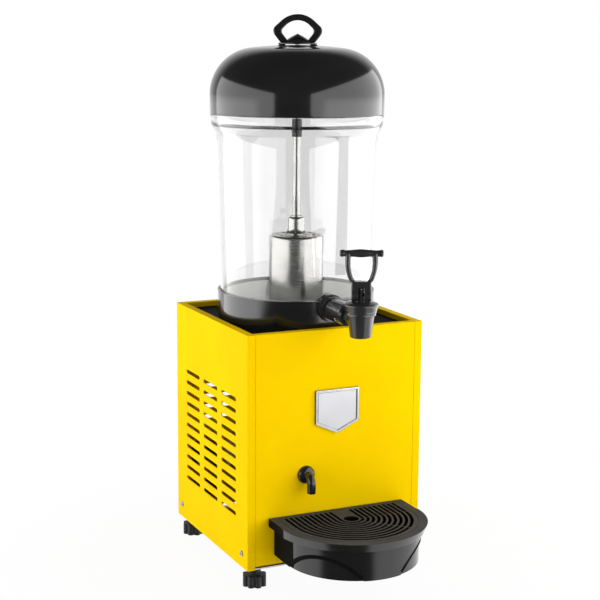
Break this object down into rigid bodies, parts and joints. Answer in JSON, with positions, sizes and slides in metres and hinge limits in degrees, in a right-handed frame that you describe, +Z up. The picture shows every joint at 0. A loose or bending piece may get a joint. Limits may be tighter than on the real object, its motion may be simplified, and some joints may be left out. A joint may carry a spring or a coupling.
{
  "type": "refrigerated drink dispenser",
  "caption": "Counter-top chilled drink dispenser: louvred yellow steel cabinet, clear jar with spray column, domed lid, lever tap and pull-out drip tray.",
  "frame": {"origin": "on the floor, at the middle of the box round the whole object", "axes": "+Z up, -Y out of the front with the tap, +X to the right seen from the front"},
  "size_m": [0.2236, 0.3654, 0.6423],
  "materials": {
    "yellow_paint": "gloss",
    "black_gloss": "gloss",
    "clear_jar": "clear",
    "stainless": "brushed",
    "zinc_steel": "satin",
    "silver_badge": "satin",
    "black_rubber": "matt",
    "copper_pipe": "satin",
    "fin_aluminium": "satin",
    "compressor_paint": "satin",
    "white_plastic": "matt",
    "hose_plastic": "matt",
    "motor_paint": "satin",
    "red_rocker": "gloss"
  },
  "bodies": {
    "cabinet": {"base_plate": "zinc_steel", "left_side_panel": "yellow_paint", "right_side_panel": "yellow_paint", "front_panel": "yellow_paint", "back_panel": "yellow_paint", "top_deck": "black_gloss", "panel_screws": "yellow_paint", "foot_nuts": "zinc_steel", "badge_plate": "silver_badge", "drain_elbow": "black_gloss", "drain_nut": "black_gloss", "drain_hose": "hose_plastic", "tray_arms": "zinc_steel", "jar_base_ring": "black_gloss", "jar_gasket": "black_rubber", "jar_pan": "stainless", "jar": "clear_jar", "evaporator_can": "stainless", "evaporator_coil": "copper_pipe", "pump_housing": "stainless", "riser_tube": "stainless", "spray_head": "black_gloss", "pump_motor": "motor_paint", "motor_bracket": "zinc_steel", "tap_washer": "black_rubber", "tap_barrel": "black_gloss", "tap_lock_nut": "black_gloss", "tap_body": "black_gloss", "tap_bonnet": "black_gloss", "compressor": "compressor_paint", "compressor_grommets": "black_rubber", "relay_cover": "black_gloss", "condenser": "fin_aluminium", "fan_shroud": "black_gloss", "fan_motor": "motor_paint", "filter_drier": "copper_pipe", "refrigerant_pipes": "copper_pipe", "thermostat": "white_plastic", "switch_frame": "black_gloss", "mains_inlet": "black_gloss"},
    "lid": {"lid": "black_gloss", "lid_handle": "black_gloss", "handle_screw": "stainless"},
    "tray": {"drip_tray": "black_gloss"},
    "grille": {"drip_grille": "black_gloss"},
    "tap_valve": {"tap_stem": "white_plastic", "tap_seal": "white_plastic"},
    "tap_lever": {"tap_handle": "black_gloss", "tap_pin": "stainless"},
    "foot_fl": {"foot_front_left": "black_rubber"},
    "foot_fr": {"foot_front_right": "black_rubber"},
    "foot_bl": {"foot_back_left": "black_rubber"},
    "foot_br": {"foot_back_right": "black_rubber"},
    "pump_rotor": {"drive_shaft": "zinc_steel", "drive_magnet": "compressor_paint"},
    "pump_impeller": {"impeller": "white_plastic"},
    "fan": {"fan_blades_hub": "black_gloss"},
    "power_switch": {"power_rocker": "red_rocker"},
    "pump_switch": {"pump_rocker": "black_gloss"},
    "thermostat_dial": {"thermostat_knob": "black_gloss"}
  },
  "joints": [
    {"name": "lid_lift", "type": "slide", "parent": "cabinet", "child": "lid", "axis": [0, 0, 1], "range_m": [0, 0.15]},
    {"name": "tray_pull", "type": "slide", "parent": "cabinet", "child": "tray", "axis": [0, -1, 0], "range_m": [0, 0.12]},
    {"name": "grille_lift", "type": "slide", "parent": "tray", "child": "grille", "axis": [0, 0, 1], "range_m": [0, 0.02]},
    {"name": "tap_valve_lift", "type": "slide", "parent": "cabinet", "child": "tap_valve", "axis": [0, 0, 1], "range_m": [0, 0.003], "stiffness_N_per_m": 1200, "springref_m": -0.002},
    {"name": "tap_lever_tilt", "type": "hinge", "parent": "tap_valve", "child": "tap_lever", "pos_m": [0, -0.1118, 0.3409], "axis": [0.9063, -0.4226, 0], "range_deg": [0, 62]},
    {"name": "pump_rotor_spin", "type": "hinge", "parent": "cabinet", "child": "pump_rotor", "pos_m": [0, 0.0552, 0.288], "axis": [0, 0, 1], "continuous": true},
    {"name": "pump_impeller_spin", "type": "hinge", "parent": "cabinet", "child": "pump_impeller", "pos_m": [0, 0.0552, 0.3872], "axis": [0, 0, 1], "continuous": true},
    {"name": "fan_spin", "type": "hinge", "parent": "cabinet", "child": "fan", "pos_m": [0.0421, 0.1015, 0.0965], "axis": [0, 1, 0], "continuous": true},
    {"name": "power_switch_tilt", "type": "hinge", "parent": "cabinet", "child": "power_switch", "pos_m": [-0.0833, 0.1642, 0.099], "axis": [1, 0, 0], "range_deg": [0, 20]},
    {"name": "pump_switch_tilt", "type": "hinge", "parent": "cabinet", "child": "pump_switch", "pos_m": [-0.0687, 0.1642, 0.099], "axis": [1, 0, 0], "range_deg": [0, 20]},
    {"name": "thermostat_turn", "type": "hinge", "parent": "cabinet", "child": "thermostat_dial", "pos_m": [-0.038, 0.1667, 0.099], "axis": [0, 1, 0], "range_deg": [0, 270]},
    {"name": "foot_fl_turn", "type": "hinge", "parent": "cabinet", "child": "foot_fl", "pos_m": [-0.0945, -0.0408, 0], "axis": [0, 0, 1], "continuous": true},
    {"name": "foot_fr_turn", "type": "hinge", "parent": "cabinet", "child": "foot_fr", "pos_m": [0.0945, -0.0408, 0], "axis": [0, 0, 1], "continuous": true},
    {"name": "foot_bl_turn", "type": "hinge", "parent": "cabinet", "child": "foot_bl", "pos_m": [-0.0945, 0.1512, 0], "axis": [0, 0, 1], "continuous": true},
    {"name": "foot_br_turn", "type": "hinge", "parent": "cabinet", "child": "foot_br", "pos_m": [0.0945, 0.1512, 0], "axis": [0, 0, 1], "continuous": true}
  ],
  "couplings": [
    {"joint": "tap_lever_tilt", "follows": "tap_valve_lift", "rad_per_m": 349},
    {"joint": "pump_impeller_spin", "follows": "pump_rotor_spin", "ratio": 1}
  ]
}
